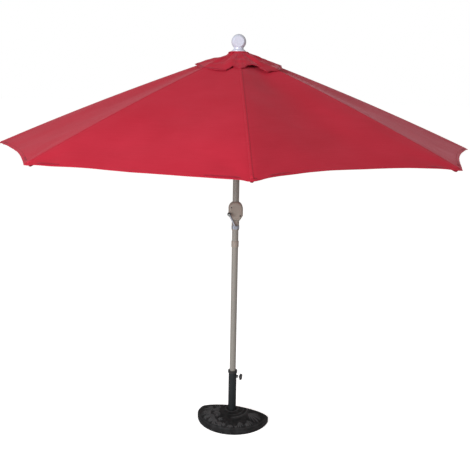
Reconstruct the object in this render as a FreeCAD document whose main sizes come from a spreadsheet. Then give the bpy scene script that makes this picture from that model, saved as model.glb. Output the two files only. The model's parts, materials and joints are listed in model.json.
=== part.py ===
import FreeCAD, Part
import math
import os

# Half-round balcony parasol on a half-round resin foot. Millimetres, +Z up.
# The origin is on the pole's axis at floor level, +X runs along the wall side and the canopy opens towards -Y.

V = FreeCAD.Vector
Rotation = FreeCAD.Rotation
Placement = FreeCAD.Placement

doc = FreeCAD.newDocument("HalfParasol")
sheet = doc.addObject("Spreadsheet::Sheet", "Sizes")

SIZES = [
    ("foot_radius", 230.0, "half-round foot"),
    ("foot_back", 43.0, "pole axis to the foot's flat edge"),
    ("foot_turn", -16.0, "foot turned about the pole, degrees"),
    ("foot_rim", 34.0, "height of the foot's upright rim"),
    ("corner_left", 50.0, "rounding of the foot's left corner"),
    ("corner_right", 12.0, "rounding of the foot's right corner"),
    ("foot_floor", 12.0, "resin left below the tube"),
    ("tube_outer", 25.0, "foot tube radius"),
    ("tube_wall", 2.0, "foot tube wall"),
    ("tube_top", 343.0, "top of the foot tube"),
    ("ring_outer", 29.0, "plastic ring on the tube"),
    ("screw_drop", 37.0, "clamp screw below the tube's top"),
    ("screw_radius", 4.0, "clamp screw"),
    ("knob_radius", 20.0, "clamp knob"),
    ("pole_outer", 19.0, "pole radius"),
    ("pole_wall", 1.2, "pole wall"),
    ("run_gap", 0.05, "radial running clearance"),
    ("clear_gap", 0.3, "clearance between parts that move apart"),
    ("pole_foot", 14.3, "underside of the pole"),
    ("pole_joint", 1160.0, "height where the two poles meet"),
    ("pole_top_drop", 30.0, "top of the upper pole below the rib pivots"),
    ("collar_outer", 22.0, "collar over the pole joint"),
    ("collar_height", 40.0, "collar over the pole joint"),
    ("crank_height", 1265.0, "crank axle above the floor"),
    ("axle_radius", 5.0, "crank axle"),
    ("arm_side", -41.0, "crank knob to the left of the axle"),
    ("arm_rise", 86.0, "crank knob above the axle"),
    ("housing_low", 41.0, "underside of the crank housing above the axle"),
    ("housing_mid", 70.0, "where the housing starts to narrow, above the axle"),
    ("housing_round", 111.0, "centre of the housing's round top above the axle"),
    ("housing_half", 42.0, "half the housing's width"),
    ("housing_neck", 24.0, "half the housing's width at its foot"),
    ("housing_depth", 31.0, "half the housing's depth"),
    ("housing_wall", 2.5, "housing wall"),
    ("hub_pivot_radius", 40.0, "rib pivots from the pole's axis"),
    ("hub_pivot_height", 2235.0, "rib pivots above the floor"),
    ("hub_outer", 51.0, "hub radius"),
    ("rib_reach", 1350.0, "rib tips from the pole's axis"),
    ("rib_fall", 508.0, "rib tips below the rib pivots"),
    ("rib_bow", 14.0, "rise of the rib over its chord"),
    ("rib_width", 12.0, "rib section"),
    ("rib_depth", 18.0, "rib section"),
    ("rib_wall", 0.9, "rib section"),
    ("rib_set_back", 26.0, "rib's end in from the canopy's corner, along the slope"),
    ("link_length", 390.0, "rib pivot to strut bracket, and strut length"),
    ("bracket_gap", 11.0, "strut pivot below the rib's underside"),
    ("strut_width", 7.0, "strut section"),
    ("strut_depth", 12.0, "strut section"),
    ("pin_radius", 2.5, "rib and strut pins"),
    ("runner_outer", 29.0, "runner sleeve radius"),
    ("cloth", 1.5, "canopy thickness"),
    ("cloth_start", 125.0, "canopy's inner edge from the pole's axis"),
    ("cap_start", 50.0, "vent cap's inner edge from the pole's axis"),
    ("cap_reach", 246.0, "vent cap's corners from the pole's axis"),
    ("finial_flange", 40.0, "finial foot radius"),
    ("finial_ball", 41.0, "finial ball radius"),
    ("finial_low", 27.5, "underside of the finial above the rib pivots"),
    ("finial_centre", 79.0, "centre of the ball above the rib pivots"),
    ("finial_face", 31.0, "ball's flat face from its centre"),
]
for row, (word, value, note) in enumerate(SIZES, start=1):
    sheet.set("A%d" % row, note)
    sheet.set("B%d" % row, str(value))
    sheet.setAlias("B%d" % row, word)
doc.recompute()


def size(word):
    """Value of one cell."""
    return float(sheet.get(word))


NODES = []


def keep(obj, label):
    """Marks an object as a sub-part that is exported under its label."""
    obj.Label = label
    NODES.append(obj)
    return obj


def bind(obj, **cells):
    """Ties an object's properties to cells; plain numbers are set as they are."""
    for name, rule in cells.items():
        if isinstance(rule, str):
            words = sorted({word for word, _, _ in SIZES if word in rule}, key=len, reverse=True)
            for i, word in enumerate(words):
                rule = rule.replace(word, "<%d>" % i)
            for i, word in enumerate(words):
                rule = rule.replace("<%d>" % i, "Sizes." + word)
            obj.setExpression(name, rule)
        else:
            setattr(obj, name, rule)
    return obj


def part(kind, name):
    return doc.addObject("Part::" + kind, name)


def spot(x=0, y=0, z=0, turn=None):
    return Placement(V(x, y, z), turn or Rotation())


def cylinder(name, radius, height, x=0, y=0, z=0, turn=None, angle=360):
    made = bind(part("Cylinder", name), Radius=radius, Height=height, Angle=angle)
    made.Placement = spot(x, y, z, turn)
    return made


def cone(name, low, high, height, z=0, x=0, y=0, turn=None, angle=360):
    made = bind(part("Cone", name), Radius1=low, Radius2=high, Height=height, Angle=angle)
    made.Placement = spot(x, y, z, turn)
    return made


def box(name, length, width, height, x=0, y=0, z=0, turn=None):
    """Box with its low corner at x, y, z."""
    made = bind(part("Box", name), Length=length, Width=width, Height=height)
    made.Placement = spot(x, y, z, turn)
    return made


def fuse(name, *pieces):
    made = part("MultiFuse", name)
    made.Shapes = list(pieces)
    made.Refine = True
    return made


def cut(name, base, *tools):
    """Base less every tool."""
    made = part("Cut", name)
    made.Base = base
    made.Tool = tools[0] if len(tools) == 1 else fuse(name + "_tools", *tools)
    made.Refine = True
    return made


def common(name, *pieces):
    made = part("MultiCommon", name)
    made.Shapes = list(pieces)
    return made


def group(name, *pieces):
    """Separate solids kept together as one sub-part."""
    made = part("Compound", name)
    made.Links = list(pieces)
    return made


def pipe(name, outer, inner, height, z):
    """Upright round tube on the pole's axis."""
    return cut(name, cylinder(name + "_out", outer, height, z=z), cylinder(name + "_in", inner, height, z=z))


ALONG_X = Rotation(V(0, 1, 0), 90)
ALONG_Y = Rotation(V(1, 0, 0), -90)
ALONG_FRONT = Rotation(V(1, 0, 0), 90)


def turned(obj, degrees):
    """Turns an object about the pole's axis from where it stands."""
    obj.Placement = Placement(V(), Rotation(V(0, 0, 1), degrees)).multiply(obj.Placement)
    return obj


# ---------------------------------------------------------------- foot
foot_turn = size("foot_turn")
back = size("foot_back")
HALF = Rotation(V(0, 0, 1), 180)
rim = size("foot_rim")
# Rings of the domed top, from the rim inwards: radius as a share of the foot's, and height over the rim.
DOME = [(1.0, 0.0), (0.955, 11.0), (0.87, 22.0), (0.70, 34.0), (0.48, 43.0), (0.26, 49.0), (0.14, 51.0)]
slices = [cylinder("foot_rim_disc", "foot_radius", "foot_rim", y=back, turn=HALF, angle=180)]
for i, ((low, z0), (high, z1)) in enumerate(zip(DOME, DOME[1:])):
    slices.append(cone("foot_ring%d" % i, "foot_radius * %g" % low, "foot_radius * %g" % high, z1 - z0,
                       y=back, z=rim + z0, turn=HALF, angle=180))
foot_solid = fuse("foot_solid", *slices)
foot_bore = cylinder("foot_bore", "tube_outer", 200.0, z=size("foot_floor"))


def corner_tool(name, side, rounding):
    """What is taken off a back corner of the foot to round it; side is -1 on the left and 1 on the right."""
    full = size("foot_radius")
    across = math.sqrt((full - rounding) ** 2 - rounding ** 2)
    low = back - rounding * full / (full - rounding)
    block = box(name + "_block", full + 10.0 - across, back + 5.0 - low, 200.0,
                x=across if side > 0 else -(full + 10.0), y=low, z=-5.0)
    rod = cylinder(name + "_rod", rounding, 300.0, x=side * across, y=back - rounding, z=-10.0)
    return cut(name, block, rod)


foot_corners = [corner_tool("foot_corner_left", -1, size("corner_left")),
                corner_tool("foot_corner_right", 1, size("corner_right"))]
keep(turned(cut("foot", foot_solid, foot_bore, *foot_corners), foot_turn), "base_weight")

tube_low = size("foot_floor")
tube_wall = cylinder("tube_skin", "tube_outer", "tube_top - foot_floor", z=tube_low)
tube_hollow = cylinder("tube_hollow", "tube_outer - tube_wall", "tube_top", z=tube_low + 2.0)
screw_z = size("tube_top") - size("screw_drop")
tube_hole = cylinder("tube_hole", "screw_radius + clear_gap", 60.0, z=screw_z, turn=ALONG_X)
keep(turned(cut("tube", tube_wall, tube_hollow, tube_hole), foot_turn), "base_tube")

ring_top = size("tube_top") + 2.0
ring_skin = cylinder("ring_skin", "ring_outer", 14.0, z=ring_top - 14.0)
ring_seat = cylinder("ring_seat", "tube_outer", 12.0, z=ring_top - 14.0)
ring_hole = cylinder("ring_hole", "pole_outer + clear_gap", 20.0, z=ring_top - 14.0)
keep(turned(cut("ring", ring_skin, ring_seat, ring_hole), foot_turn), "tube_cap_ring")

# Welded nut for the clamp screw, shaped to the tube.
nut_block = cylinder("nut_block", 9.0, 12.0, x=size("tube_outer") - 3.0, z=screw_z, turn=ALONG_X)
nut_bore = cylinder("nut_bore", "screw_radius + run_gap", 30.0, x=size("tube_outer") - 8.0, z=screw_z, turn=ALONG_X)
nut_seat = cylinder("nut_seat", "tube_outer", 40.0, z=screw_z - 20.0)
keep(turned(cut("nut", nut_block, nut_bore, nut_seat), foot_turn), "clamp_nut")

screw_tip = size("tube_outer") - size("tube_wall") + 0.05
keep(turned(cylinder("screw", "screw_radius", 28.8, x=screw_tip, z=screw_z, turn=ALONG_X), foot_turn), "clamp_screw")
# Five-lobed hand knob on the screw's outer end.
knob_x = screw_tip + 24.0
lobes = [cylinder("knob_core", "knob_radius * 0.82", 12.0, x=knob_x, z=screw_z, turn=ALONG_X),
         cylinder("knob_boss", 9.0, 4.0, x=knob_x - 4.0, z=screw_z, turn=ALONG_X)]
for i in range(5):
    a = math.radians(72 * i + 90)
    reach = size("knob_radius") - 7.0
    lobes.append(cylinder("knob_lobe%d" % i, 7.0, 12.0, x=knob_x, y=reach * math.cos(a),
                          z=screw_z + reach * math.sin(a), turn=ALONG_X))
knob_bore = cylinder("knob_bore", "screw_radius + run_gap", 9.0, x=knob_x - 4.0, z=screw_z, turn=ALONG_X)
keep(turned(cut("knob", fuse("knob_solid", *lobes), knob_bore), foot_turn), "clamp_knob")

# Plastic bush that centres the pole in the tube and turns with it.
bush_height = 190.0
bush_top = size("tube_top") - 0.5
keep(pipe("bush", "tube_outer - tube_wall - run_gap", "pole_outer + run_gap", bush_height, bush_top - bush_height),
     "pole_bush")

# ---------------------------------------------------------------- pole
pole_low = size("pole_foot")
joint = size("pole_joint")
pole_inner = "pole_outer - pole_wall"
keep(pipe("low_pole", "pole_outer", pole_inner, "pole_joint - pole_foot - 3", pole_low + 3.0), "lower_pole")
plug_flange = cylinder("plug_flange", "pole_outer", 3.0, z=pole_low)
plug_stem = cylinder("plug_stem", pole_inner, 24.0, z=pole_low + 3.0)
plug_hollow = cylinder("plug_hollow", "pole_outer - pole_wall - 3", 24.0, z=pole_low + 3.0)
keep(cut("plug", fuse("plug_solid", plug_flange, plug_stem), plug_hollow), "pole_end_plug")

collar_low = joint - size("collar_height") / 2
collar_skin = cylinder("collar_skin", "collar_outer", "collar_height - 8", z=collar_low + 4.0)
collar_foot = cone("collar_foot", "pole_outer + 1", "collar_outer", 4.0, z=collar_low)
collar_head = cone("collar_head", "collar_outer", "pole_outer + 1", 4.0, z=joint + size("collar_height") / 2 - 4.0)
collar_bore = cylinder("collar_bore", "pole_outer", "collar_height", z=collar_low)
keep(cut("collar", fuse("collar_solid", collar_skin, collar_foot, collar_head), collar_bore), "pole_collar")
keep(pipe("connector", pole_inner, "pole_outer - pole_wall - 2", 150.0, joint - 85.0), "pole_connector")

crank_z = size("crank_height")
hub_z = size("hub_pivot_height")
hub_r = size("hub_pivot_radius")
pole_top = hub_z - size("pole_top_drop")
high_skin = cylinder("high_skin", "pole_outer", "hub_pivot_height - pole_top_drop - pole_joint", z=joint)
high_hollow = cylinder("high_hollow", pole_inner, "hub_pivot_height - pole_top_drop - pole_joint", z=joint)
high_hole = cylinder("high_hole", "axle_radius + clear_gap", 60.0, y=-30, z=crank_z, turn=ALONG_Y)
keep(cut("high_pole", high_skin, high_hollow, high_hole), "upper_pole")

# ---------------------------------------------------------------- crank
sleeve_low = crank_z - 18.0
sleeve_skin = cylinder("sleeve_skin", "pole_outer + 3", "housing_low + 18", z=sleeve_low)
sleeve_bore = cylinder("sleeve_bore", "pole_outer", 100.0, z=sleeve_low)
sleeve_hole = cylinder("sleeve_hole", "axle_radius + clear_gap", 60.0, y=-30, z=crank_z, turn=ALONG_Y)
keep(cut("sleeve", sleeve_skin, sleeve_bore, sleeve_hole), "crank_sleeve")

# Chrome bearing strap bent round the sleeve's front, with a boss for the axle.
strap_skin = cylinder("strap_skin", "pole_outer + 5", 20.0, z=crank_z - 10.0, turn=Rotation(V(0, 0, 1), 195), angle=150)
strap_bore = cylinder("strap_bore", "pole_outer + 3", 30.0, z=crank_z - 15.0)
strap_boss = cylinder("strap_boss", 9.0, 9.0, y=-(size("pole_outer") + 3.5), z=crank_z, turn=ALONG_FRONT)
strap_hole = cylinder("strap_hole", "axle_radius + run_gap", 20.0, y=-(size("pole_outer") - 3.0), z=crank_z,
                      turn=ALONG_FRONT)
keep(cut("strap", fuse("strap_solid", cut("strap_band", strap_skin, strap_bore), strap_boss), strap_hole),
     "crank_bearing")

# The bearing bush inside the pole's back wall carries the axle's inner end.
arm_y = -(size("pole_outer") + 13.0)
axle = cylinder("axle_rod", "axle_radius", 17.0 - arm_y, y=17.0, z=crank_z, turn=ALONG_FRONT)
keep(axle, "crank_axle")
spool_core = cylinder("spool_core", 9.0, 16.0, y=8.0, z=crank_z, turn=ALONG_FRONT)
spool_back = cylinder("spool_back", 14.5, 1.5, y=8.0, z=crank_z, turn=ALONG_FRONT)
spool_front = cylinder("spool_front", 14.5, 1.5, y=-6.5, z=crank_z, turn=ALONG_FRONT)
spool_bore = cylinder("spool_bore", "axle_radius", 30.0, y=15.0, z=crank_z, turn=ALONG_FRONT)
keep(cut("spool", fuse("spool_solid", spool_core, spool_back, spool_front), spool_bore), "cord_spool")

# Crank arm: hub, bent rod and the eye that holds the knob's pin.
side, rise = size("arm_side"), size("arm_rise")
arm_length = math.hypot(side, rise)
arm_turn = Rotation(V(0, 0, 1), V(side, 0, rise))
arm_hub = cylinder("arm_hub", 10.0, 9.0, y=arm_y, z=crank_z, turn=ALONG_FRONT)
arm_rod = cylinder("arm_rod", 4.0, arm_length, y=arm_y - 4.5, z=crank_z, turn=arm_turn)
arm_eye = cylinder("arm_eye", 7.5, 9.0, x=side, y=arm_y, z=crank_z + rise, turn=ALONG_FRONT)
keep(fuse("arm", arm_hub, arm_rod, arm_eye), "crank_arm")
knob_y = arm_y - 9.0
pin_rod = cylinder("grip_pin_rod", 3.0, 27.0, x=side, y=knob_y, z=crank_z + rise, turn=ALONG_FRONT)
pin_head = cylinder("grip_pin_head", 5.5, 2.0, x=side, y=knob_y - 27.0, z=crank_z + rise, turn=ALONG_FRONT)
keep(fuse("grip_pin", pin_rod, pin_head), "crank_knob_pin")
grip_low = cone("grip_low", 7.0, 9.5, 9.0, x=side, y=knob_y - 0.4, z=crank_z + rise, turn=ALONG_FRONT)
grip_high = cylinder("grip_high", 9.5, 17.2, x=side, y=knob_y - 9.4, z=crank_z + rise, turn=ALONG_FRONT)
grip_bore = cylinder("grip_bore", 3.0 + size("run_gap"), 40.0, x=side, y=knob_y + 5.0, z=crank_z + rise,
                     turn=ALONG_FRONT)
keep(cut("grip", fuse("grip_solid", grip_low, grip_high), grip_bore), "crank_knob")


def housing_form(name, less):
    """Round-topped housing outline, made smaller by less on every side."""
    half, neck, deep = size("housing_half") - less, size("housing_neck") - less, size("housing_depth") - less
    low, mid, top = (crank_z + size(word) for word in ("housing_low", "housing_mid", "housing_round"))
    low += less
    outline = Part.Wire([
        Part.makeLine(V(-neck, -deep, low), V(neck, -deep, low)),
        Part.makeLine(V(neck, -deep, low), V(half, -deep, mid)),
        Part.makeLine(V(half, -deep, mid), V(half, -deep, top)),
        Part.Arc(V(half, -deep, top), V(0, -deep, top + half), V(-half, -deep, top)).toShape(),
        Part.makeLine(V(-half, -deep, top), V(-half, -deep, mid)),
        Part.makeLine(V(-half, -deep, mid), V(-neck, -deep, low)),
    ])
    block = Part.Face(outline).extrude(V(0, 2 * deep, 0))
    edges = [e for e in block.Edges if all(abs(abs(v.Y) - deep) < 1e-6 for v in e.Vertexes)
             and abs(e.Vertexes[0].Y - e.Vertexes[-1].Y) < 1e-6]
    made = part("Feature", name)
    made.Shape = block.makeFillet(12.0 - less, edges)
    return made


HOUSING_SCREWS = [(-26.0, crank_z + 121.0), (26.5, crank_z + 72.0)]
housing_outer = housing_form("housing_outer", 0.0)
housing_inner = housing_form("housing_inner", size("housing_wall"))
for label, low_y in (("crank_housing_front", -60.0), ("crank_housing_back", 0.0)):
    half_space = box(label + "_half", 200.0, 60.0, 300.0, x=-100.0, y=low_y, z=crank_z)
    pole_pass = cylinder(label + "_pass", "pole_outer", 300.0, z=crank_z)
    posts = [cylinder(label + "_post%d" % i, 4.5, "housing_depth * 2 - 3", x=x, y=size("housing_depth") - 1.5, z=z,
                      turn=ALONG_FRONT) for i, (x, z) in enumerate(HOUSING_SCREWS)]
    holes = [cylinder(label + "_hole%d" % i, 2.0, 100.0, x=x, y=50.0, z=z, turn=ALONG_FRONT)
             for i, (x, z) in enumerate(HOUSING_SCREWS)]
    shell = cut(label + "_shell", fuse(label + "_walls", cut(label + "_skin", housing_outer, housing_inner), *posts),
                pole_pass, *holes)
    keep(common(label + "_form", shell, half_space), label)
screws = []
for i, (x, z) in enumerate(HOUSING_SCREWS):
    shank = cylinder("house_shank%d" % i, 2.0, "housing_depth * 2 - 4", x=x, y=size("housing_depth") - 4.0, z=z,
                     turn=ALONG_FRONT)
    head = cylinder("house_head%d" % i, 4.0, 0.7, x=x, y=-size("housing_depth"), z=z, turn=ALONG_FRONT)
    screws.append(fuse("house_screw%d" % i, shank, head))
keep(group("house_screws", *screws), "housing_screws")

# ---------------------------------------------------------------- hub
AZIMUTHS = [("left", 180.0), ("front_left", 225.0), ("front", 270.0), ("front_right", 315.0), ("right", 0.0)]
hub_low, hub_high = hub_z - 22.0, hub_z + 16.0
hub_disc = cylinder("hub_disc", "hub_outer", hub_high - hub_low, z=hub_low)
hub_skirt = cylinder("hub_skirt", "pole_outer + 3", 30.0, z=hub_low - 30.0)
hub_core = cylinder("hub_core", pole_inner, 46.0, z=pole_top - 38.0)
hub_seat = cut("hub_seat", cylinder("hub_seat_out", "pole_outer", 60.0, z=pole_top - 60.0),
               cylinder("hub_seat_in", pole_inner, 60.0, z=pole_top - 60.0))
hub_hollow = cylinder("hub_hollow", 13.0, hub_high - 10.0 - (pole_top - 50.0), z=pole_top - 50.0)
pulley_y, pulley_r, pulley_z = 19.0, 8.5, hub_z - 10.0
pulley_slot = box("pulley_slot", 8.0, 28.0, pulley_z + 13.0 - (hub_low - 31.0), x=-4.0, y=7.0, z=hub_low - 31.0)
stud_hole = cylinder("stud_hole", 4.0, 40.0, z=hub_high - 12.0)
slots, pin_holes, pins = [], [], []
for name, azimuth in AZIMUTHS:
    slots.append(turned(box("hub_slot_" + name, 40.0, 8.6, 60.0, x=27.0, y=-4.3, z=hub_low - 30.0), azimuth))
    hole = cylinder("hub_pin_hole_" + name, "pin_radius", 24.0, x=hub_r, y=-12.0, z=hub_z, turn=ALONG_Y)
    pin_holes.append(turned(hole, azimuth))
    rod = cylinder("hub_pin_rod_" + name, "pin_radius", 22.0, x=hub_r, y=-11.0, z=hub_z, turn=ALONG_Y)
    pins.append(turned(rod, azimuth))
slot_stop = cylinder("slot_stop", "hub_outer + 10", 6.0, z=hub_high - 6.0)
for i, slot in enumerate(slots):
    slots[i] = cut("hub_slot_open%d" % i, slot, slot_stop)
pulley_axle_hole = cylinder("pulley_axle_hole", 2.0, 30.0, x=-15.0, y=pulley_y, z=pulley_z, turn=ALONG_X)
hub_solid = fuse("hub_solid", hub_disc, hub_skirt, hub_core)
keep(cut("hub", hub_solid, hub_seat, hub_hollow, pulley_slot, stud_hole, pulley_axle_hole, *(slots + pin_holes)),
     "top_hub")
keep(group("hub_pins_all", *pins), "hub_pins")
keep(cylinder("pulley_axle_rod", 2.0, 28.0, x=-14.0, y=pulley_y, z=pulley_z, turn=ALONG_X), "pulley_axle")
wheel = cylinder("wheel", pulley_r + 2.0, 6.0, x=-3.0, y=pulley_y, z=pulley_z, turn=ALONG_X)
groove = bind(part("Torus", "groove"), Radius1=pulley_r + 1.9, Radius2=2.0)
groove.Placement = spot(0, pulley_y, pulley_z, ALONG_X)
wheel_bore = cylinder("wheel_bore", 2.0, 20.0, x=-10.0, y=pulley_y, z=pulley_z, turn=ALONG_X)
keep(cut("pulley", wheel, groove, wheel_bore), "cord_pulley")

# ---------------------------------------------------------------- finial
disc_z = hub_high
low = hub_z + size("finial_low")
washer = pipe("top_washer", 38.0, 4.0, low - 3.0 - disc_z, disc_z)
keep(washer, "hub_washer")
disc_skin = cylinder("disc_skin", "cap_start - 2", 3.0, z=low - 3.0)
disc_hole = cylinder("disc_hole", 4.0, 10.0, z=low - 5.0)
keep(cut("disc", disc_skin, disc_hole), "cap_centre")
ball_z = hub_z + size("finial_centre")
flange = cylinder("flange", "finial_flange", 4.0, z=low)
flare = cone("flare", "finial_flange - 2", 27.0, 9.0, z=low + 4.0)
neck = cylinder("neck", 27.0, 8.0, z=low + 13.0)
flange_hole = cylinder("flange_hole", 4.0, 30.0, z=low)
neck_top = bind(part("Sphere", "neck_top"), Radius="finial_ball")
neck_top.Placement = spot(0, 0, ball_z)
keep(cut("finial_foot", fuse("finial_foot_solid", flange, flare, neck), flange_hole, neck_top), "finial_base")
ball = bind(part("Sphere", "ball"), Radius="finial_ball")
ball.Placement = spot(0, 0, ball_z)
face = box("ball_face", 100.0, 40.0, 100.0, x=-50.0, y=-40.0 - size("finial_face"), z=ball_z - 50.0)
ball_hole = cylinder("ball_hole", 4.0, 30.0, z=low)
keep(cut("finial_top", ball, face, ball_hole), "finial_ball")
keep(cylinder("stud", 4.0, low + 28.0 - (hub_high - 11.0), z=hub_high - 11.0), "finial_stud")

# ---------------------------------------------------------------- ribs
reach, tip_z = size("rib_reach"), hub_z - size("rib_fall")
chord = math.hypot(reach - hub_r, hub_z - tip_z)
slope = math.atan2(hub_z - tip_z, reach - hub_r)
bow = size("rib_bow")
bow_radius = chord * chord / (8 * bow) + bow / 2
link = size("link_length")


def rib_point(along, rise_by=0.0):
    """Point beside the rib's centre line: distance along the chord from the pivot, and offset square to it."""
    lift = 4 * bow * (along / chord) * (1 - along / chord) + rise_by
    return V(hub_r + along * math.cos(slope) + lift * math.sin(slope), 0,
             hub_z - along * math.sin(slope) + lift * math.cos(slope))


bracket_lift = 4 * bow * (link / chord) * (1 - link / chord) - size("rib_depth") / 2 - size("bracket_gap")
link_slope = slope - math.asin(bracket_lift / link)
bracket = V(hub_r + link * math.cos(link_slope), 0, hub_z - link * math.sin(link_slope))
runner_z = hub_z - 2 * link * math.sin(link_slope)
RIB_TURN = Rotation(V(0, 1, 0), math.degrees(slope))
bow_centre = rib_point(chord / 2, -bow_radius)
root_length, tip_length = 46.0, 26.0


def rib_bar(name, less, start, end):
    """Bowed bar of the rib's section, less the wall, between two distances along the chord."""
    w, d = size("rib_width") - 2 * less, size("rib_depth") - 2 * less
    first, last = rib_point(start), rib_point(end)
    arm_a, arm_b = first - bow_centre, last - bow_centre
    sweep = math.degrees(arm_a.getAngle(arm_b))
    profile = bind(part("Plane", name + "_section"), Length=d, Width=w)
    outward = Rotation(V(1, 0, 0), arm_a)
    corner = first + outward.multVec(V(-d / 2, -w / 2, 0))
    profile.Placement = Placement(corner, outward)
    made = part("Revolution", name)
    made.Source = profile
    made.Base = bow_centre
    made.Axis = V(0, 1, 0)
    made.Angle = sweep
    made.Solid = True
    return made


def seat_block(name, along, length, width, depth, lift):
    """Block square to the chord, centred at a distance along it."""
    centre = rib_point(along, lift)
    corner = centre + RIB_TURN.multVec(V(-length / 2, -width / 2, -depth / 2))
    made = bind(part("Box", name), Length=length, Width=width, Height=depth)
    made.Placement = Placement(corner, RIB_TURN)
    return made


def rib_parts(side_name, azimuth):
    tag = "_" + side_name
    rib_end = chord - size("rib_set_back") - 14.0
    outer = rib_bar("rib_outer" + tag, 0.0, 30.0, rib_end)
    inner = rib_bar("rib_inner" + tag, size("rib_wall"), 30.0, rib_end)
    keep(turned(cut("rib" + tag, outer, inner), azimuth), "rib" + tag)
    # Hub end: an insert in the tube and a flat tongue on the pivot.
    insert = rib_bar("root_insert" + tag, size("rib_wall"), 30.0, 30.0 + root_length)
    tongue = seat_block("root_tongue" + tag, 15.0, 29.0, 8.0, 14.0, 0.0)
    eye = cylinder("root_eye" + tag, 8.0, 8.0, x=hub_r, y=-4.0, z=hub_z, turn=ALONG_Y)
    eye_bore = cylinder("root_bore" + tag, "pin_radius + run_gap", 20.0, x=hub_r, y=-10.0, z=hub_z, turn=ALONG_Y)
    root = cut("root" + tag, fuse("root_solid" + tag, insert, tongue, eye), eye_bore)
    # Strut bracket: a saddle under the rib with two ears and a rivet.
    ears = []
    for sign in (-1, 1):
        y = sign * (size("rib_width") / 2 + 1.5)
        plate = seat_block("ear" + tag + str(sign), link, 30.0, 3.0, 30.0, -size("rib_depth") / 2)
        plate.Placement = Placement(plate.Placement.Base + V(0, y, 0), RIB_TURN)
        ears.append(plate)
    bridge = seat_block("bridge" + tag, link, 30.0, 15.0, 2.0, -size("rib_depth") / 2 - 1.0)
    rivet_hole = cylinder("rivet_hole" + tag, "pin_radius", 40.0, x=bracket.x, y=-20.0, z=bracket.z, turn=ALONG_Y)
    saddle = cut("saddle" + tag, fuse("saddle_solid" + tag, bridge, *ears), rivet_hole)
    rivet = cylinder("rivet" + tag, "pin_radius", 20.0, x=bracket.x, y=-10.0, z=bracket.z, turn=ALONG_Y)
    # Tip: a cap with a stem that the canopy's pocket slips over.
    stem = rib_bar("tip_stem" + tag, size("rib_wall"), rib_end - tip_length, rib_end)
    cap = seat_block("tip_cap" + tag, rib_end + 5.0, 10.0, size("rib_width"), size("rib_depth"), 0.0)
    tip = fuse("tip" + tag, stem, cap)
    keep(turned(group("fittings" + tag, root, saddle, rivet, tip), azimuth), "rib_fittings" + tag)


def strut_parts(side_name, azimuth):
    """Flat strut from the bracket down to the runner, with an eye at each end."""
    tag = "_" + side_name
    low_eye = V(hub_r, 0, runner_z)
    run = bracket - low_eye
    turn = Rotation(V(1, 0, 0), run)
    w, d = size("strut_width"), size("strut_depth")
    corner = low_eye + turn.multVec(V(0, -w / 2, -d / 2))
    bar = bind(part("Box", "strut_bar" + tag), Length="link_length", Width="strut_width", Height="strut_depth")
    bar.Placement = Placement(corner, turn)
    eyes = [cylinder("strut_eye%d" % i + tag, 8.0, "strut_width", x=p.x, y=-w / 2, z=p.z, turn=ALONG_Y)
            for i, p in enumerate((low_eye, bracket))]
    low_hole = cylinder("strut_low_hole" + tag, 5.0, 20.0, x=low_eye.x, y=-10.0, z=low_eye.z, turn=ALONG_Y)
    high_hole = cylinder("strut_high_hole" + tag, "pin_radius + run_gap", 20.0, x=bracket.x, y=-10.0, z=bracket.z,
                         turn=ALONG_Y)
    made = cut("strut" + tag, fuse("strut_solid" + tag, bar, *eyes), low_hole, high_hole)
    keep(turned(made, azimuth), "strut" + tag)


# ---------------------------------------------------------------- canopy
def plate_solid(rows, thick):
    """Closed plate from rows of top points; the underside lies straight below."""
    drop = V(0, 0, -thick)
    top, under = rows, [[p + drop for p in row] for row in rows]
    faces = []

    def quad(a, b, c, d):
        ring = []
        for p in (a, b, c, d):
            if not ring or (p - ring[-1]).Length > 1e-6:
                ring.append(p)
        for k in range(1, len(ring) - 1):
            faces.append(Part.Face(Part.makePolygon([ring[0], ring[k], ring[k + 1], ring[0]])))

    last_row, last_col = len(rows) - 1, len(rows[0]) - 1
    for i in range(last_row):
        for j in range(last_col):
            quad(top[i][j], top[i + 1][j], top[i + 1][j + 1], top[i][j + 1])
            quad(under[i][j], under[i][j + 1], under[i + 1][j + 1], under[i + 1][j])
    for i in range(last_row):
        quad(top[i][0], under[i][0], under[i + 1][0], top[i + 1][0])
        quad(top[i][last_col], top[i + 1][last_col], under[i + 1][last_col], under[i][last_col])
    for j in range(last_col):
        quad(top[0][j], top[0][j + 1], under[0][j + 1], under[0][j])
        quad(top[last_row][j], under[last_row][j], under[last_row][j + 1], top[last_row][j + 1])
    solid = Part.makeSolid(Part.makeShell(faces))
    if solid.Volume < 0:
        solid.reverse()
    return solid.removeSplitter()


half_panel = math.radians(22.5)
# The panels fall away on both sides of a rib, so the cloth clears its flat top by a little more at the middle.
cloth_lift = size("rib_depth") / 2 + 1.5 + size("cloth")
HEM_RISE = 34.0


def rib_height(radius):
    """Height of the cloth's top face over a rib at a distance from the pole's axis."""
    along = (radius - hub_r) / math.cos(slope)
    along = (radius - hub_r - rib_lift(along) * math.sin(slope)) / math.cos(slope)
    return hub_z - along * math.sin(slope) + rib_lift(along) * math.cos(slope) + cloth_lift / math.cos(slope)


def rib_lift(along):
    return 4 * bow * (along / chord) * (1 - along / chord)


def panel_rows(radii, height, gap, hem_in, sides):
    """Rows of a gore's top face: middle of the left panel, the rib, middle of the right panel."""
    rows = []
    for i, radius in enumerate(radii):
        hem = hem_in if i == len(radii) - 1 else 0.0
        row = []
        for sign in sides:
            if sign == 0:
                row.append(V(radius, 0, height(radius)))
                continue
            level = radius - hem
            middle = level * math.cos(half_panel)
            x, y = middle * math.cos(half_panel), sign * middle * math.sin(half_panel)
            # A hair's gap at the panel's middle keeps the neighbouring gores apart.
            x += gap * math.sin(half_panel)
            y -= sign * gap * math.cos(half_panel)
            row.append(V(x, y, height(level)))
        rows.append(row)
    return rows


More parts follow.
